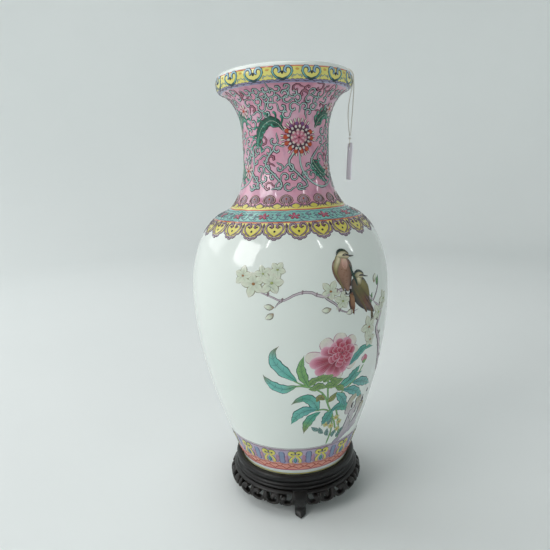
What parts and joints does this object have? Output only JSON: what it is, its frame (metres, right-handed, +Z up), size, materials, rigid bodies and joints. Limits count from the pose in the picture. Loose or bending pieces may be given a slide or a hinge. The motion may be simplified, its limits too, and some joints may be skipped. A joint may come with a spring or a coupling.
{
  "type": "porcelain vase on stand",
  "caption": "Baluster porcelain vase with a flared neck and rolled lip, standing in a pierced hardwood stand, with a string tag.",
  "frame": {"origin": "on the floor under the vase's own axis, at the centre of the object's footprint", "axes": "+Z up along the vase's axis; -Y faces the front leg of the stand and the painted front"},
  "size_m": [0.184, 0.184, 0.3959],
  "materials": {
    "porcelain": "glossy white glaze with overglaze enamel painting",
    "dark_hardwood": "black-brown stained and waxed, satin",
    "seat_wood": "black-brown stained, plain turned",
    "dowel_wood": "unstained",
    "paper_tape": "creped, matte",
    "cotton_thread": "twisted white cotton",
    "tag_paper": "smooth card, faintly lavender"
  },
  "bodies": {
    "stand": {"stand_rim": "dark_hardwood", "seat_board": "seat_wood", "leg_1": "dark_hardwood", "leg_2": "dark_hardwood", "leg_3": "dark_hardwood", "apron_1": "dark_hardwood", "apron_2": "dark_hardwood", "apron_3": "dark_hardwood", "apron_dowels": "dowel_wood"},
    "vase": {"vase_body": "porcelain", "thread_tape": "paper_tape", "thread_over_lip": "cotton_thread"},
    "thread": {"thread_strands": "cotton_thread"},
    "tag": {"thread_knot": "cotton_thread", "tag_card": "tag_paper"}
  },
  "joints": [
    {"name": "vase_lift", "type": "slide", "parent": "stand", "child": "vase", "axis": [0, 0, 1], "range_m": [0, 0.06]},
    {"name": "thread_swing", "type": "hinge", "parent": "vase", "child": "thread", "pos_m": [0.06027, -0.01063, 0.388], "axis": [-0.1736, -0.9848, 0], "range_deg": [-1, 30]},
    {"name": "tag_swivel", "type": "hinge", "parent": "thread", "child": "tag", "pos_m": [0.05692, -0.01004, 0.3374], "axis": [0, 0, 1], "range_deg": [-20, 20]}
  ]
}
